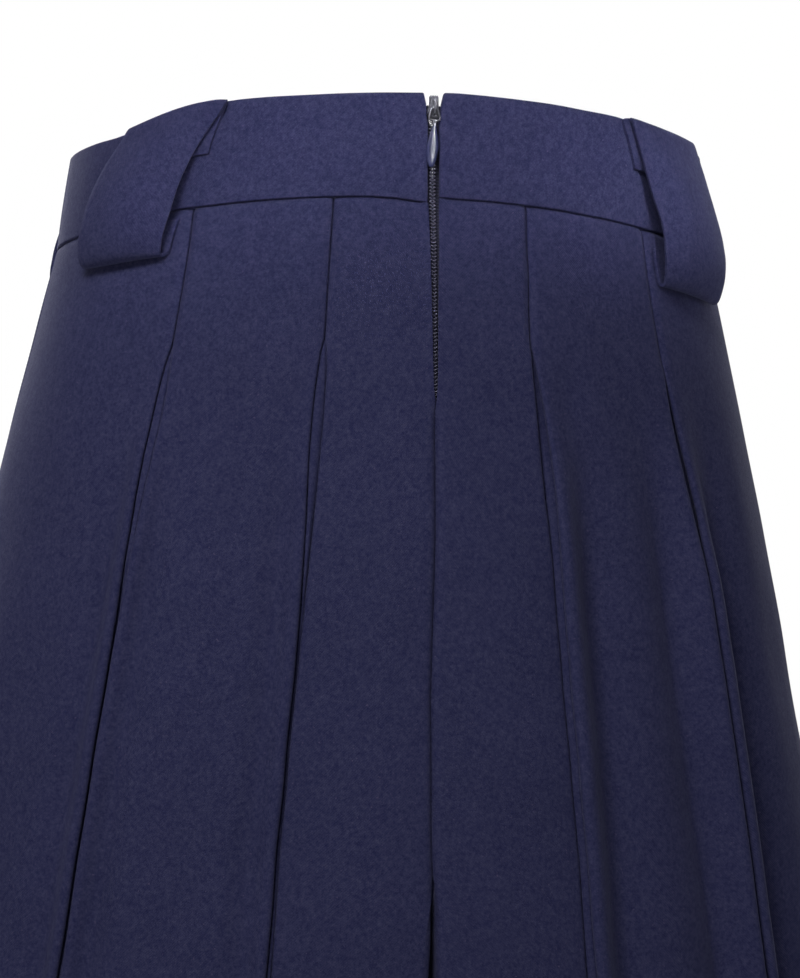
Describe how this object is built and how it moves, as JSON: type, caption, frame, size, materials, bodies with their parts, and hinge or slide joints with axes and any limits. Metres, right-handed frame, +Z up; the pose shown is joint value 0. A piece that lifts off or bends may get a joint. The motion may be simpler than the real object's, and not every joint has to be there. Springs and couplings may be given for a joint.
{
  "type": "pleated skort",
  "caption": "Short divided skirt with inverted box pleats on a shaped waistband, wide belt loops and a centre back zip.",
  "frame": {"origin": "middle of the open waist, level with the waistband's top edge at the centre back", "axes": "+Z up, the wearer faces -Y so the zip is at +Y, and the wearer's left is +X"},
  "size_m": [0.4152, 0.2919, 0.4402],
  "materials": {
    "suiting": "matt navy twill suiting",
    "zip_tape": "matt woven navy zip tape and coil",
    "zip_enamel": "navy enamel on die-cast metal"
  },
  "bodies": {
    "garment": {"back_left": "suiting", "back_right": "suiting", "front_left": "suiting", "front_right": "suiting", "waistband_back_left": "suiting", "waistband_back_right": "suiting", "waistband_front": "suiting", "belt_loop_back_left": "suiting", "belt_loop_back_right": "suiting", "belt_loop_front_left": "suiting", "belt_loop_front_right": "suiting", "zip_tape_left": "zip_tape", "zip_tape_right": "zip_tape", "zip_chain": "zip_tape", "zip_slider": "zip_enamel"},
    "pull_tab": {"zip_pull": "zip_enamel"}
  },
  "joints": [
    {"name": "pull_tab_hinge", "type": "hinge", "parent": "garment", "child": "pull_tab", "pos_m": [0, 0.10147, -0.0065], "axis": [1, 0, 0], "range_deg": [0, 160]}
  ]
}
